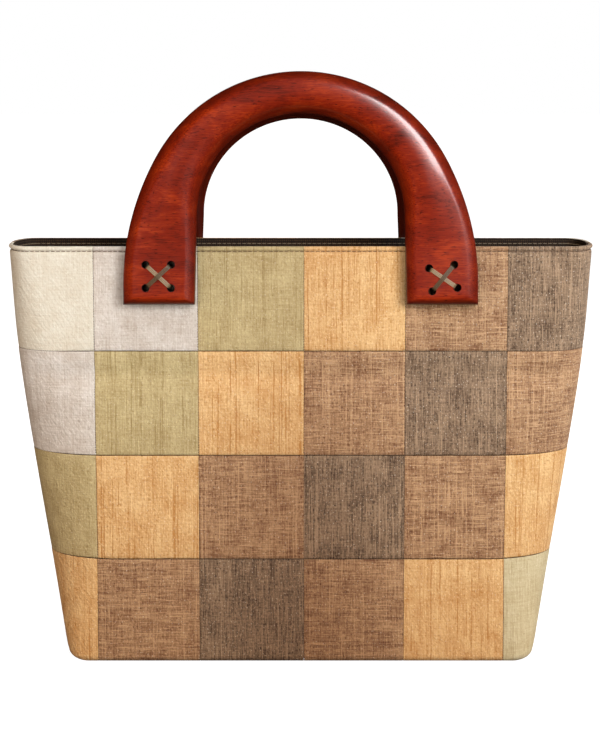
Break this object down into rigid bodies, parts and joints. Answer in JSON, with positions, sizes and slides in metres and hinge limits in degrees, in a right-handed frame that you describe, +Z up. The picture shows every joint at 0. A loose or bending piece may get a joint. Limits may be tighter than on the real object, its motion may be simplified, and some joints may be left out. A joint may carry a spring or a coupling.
{
  "type": "patchwork tote bag",
  "caption": "Tapered tote of slubbed cloth squares in diagonal bands of colour, lined, with arched wooden handles laced on through drilled feet.",
  "frame": {"origin": "on the floor under the middle of the bag", "axes": "+Z up, the front faces -Y, +X to the right as seen from the front"},
  "size_m": [0.3298, 0.103, 0.329],
  "materials": {
    "cloth_cream": "slubbed plain weave, matt",
    "cloth_lavender": "slubbed plain weave, matt",
    "cloth_sage": "slubbed plain weave, matt",
    "cloth_gold": "slubbed plain weave, matt",
    "cloth_brown": "slubbed plain weave, matt",
    "cloth_charcoal": "slubbed plain weave, matt",
    "cloth_pale_sage": "slubbed plain weave, matt",
    "lining_cloth": "coarse dark plain weave, matt",
    "handle_wood": "red-brown hardwood, glossy varnish",
    "lacing_cord": "waxed flat cord"
  },
  "bodies": {
    "root": {"front_patch_r1_c1": "cloth_cream", "front_patch_r1_c2": "cloth_lavender", "front_patch_r1_c3": "cloth_sage", "front_patch_r1_c4": "cloth_gold", "front_patch_r1_c5": "cloth_brown", "front_patch_r1_c6": "cloth_charcoal", "front_patch_r2_c1": "cloth_lavender", "front_patch_r2_c2": "cloth_sage", "front_patch_r2_c3": "cloth_gold", "front_patch_r2_c4": "cloth_brown", "front_patch_r2_c5": "cloth_charcoal", "front_patch_r2_c6": "cloth_brown", "front_patch_r3_c1": "cloth_sage", "front_patch_r3_c2": "cloth_gold", "front_patch_r3_c3": "cloth_brown", "front_patch_r3_c4": "cloth_charcoal", "front_patch_r3_c5": "cloth_brown", "front_patch_r3_c6": "cloth_gold", "front_patch_r4_c1": "cloth_gold", "front_patch_r4_c2": "cloth_brown", "front_patch_r4_c3": "cloth_charcoal", "front_patch_r4_c4": "cloth_brown", "front_patch_r4_c5": "cloth_gold", "front_patch_r4_c6": "cloth_pale_sage", "back_patch_r1_c1": "cloth_cream", "back_patch_r1_c2": "cloth_lavender", "back_patch_r1_c3": "cloth_sage", "back_patch_r1_c4": "cloth_gold", "back_patch_r1_c5": "cloth_brown", "back_patch_r1_c6": "cloth_charcoal", "back_patch_r2_c1": "cloth_lavender", "back_patch_r2_c2": "cloth_sage", "back_patch_r2_c3": "cloth_gold", "back_patch_r2_c4": "cloth_brown", "back_patch_r2_c5": "cloth_charcoal", "back_patch_r2_c6": "cloth_brown", "back_patch_r3_c1": "cloth_sage", "back_patch_r3_c2": "cloth_gold", "back_patch_r3_c3": "cloth_brown", "back_patch_r3_c4": "cloth_charcoal", "back_patch_r3_c5": "cloth_brown", "back_patch_r3_c6": "cloth_gold", "back_patch_r4_c1": "cloth_gold", "back_patch_r4_c2": "cloth_brown", "back_patch_r4_c3": "cloth_charcoal", "back_patch_r4_c4": "cloth_brown", "back_patch_r4_c5": "cloth_gold", "back_patch_r4_c6": "cloth_pale_sage", "base_panel": "lining_cloth", "lining": "lining_cloth", "handle_front": "handle_wood", "handle_back": "handle_wood", "lacing_front_left": "lacing_cord", "lacing_front_right": "lacing_cord", "lacing_back_left": "lacing_cord", "lacing_back_right": "lacing_cord"}
  },
  "joints": []
}
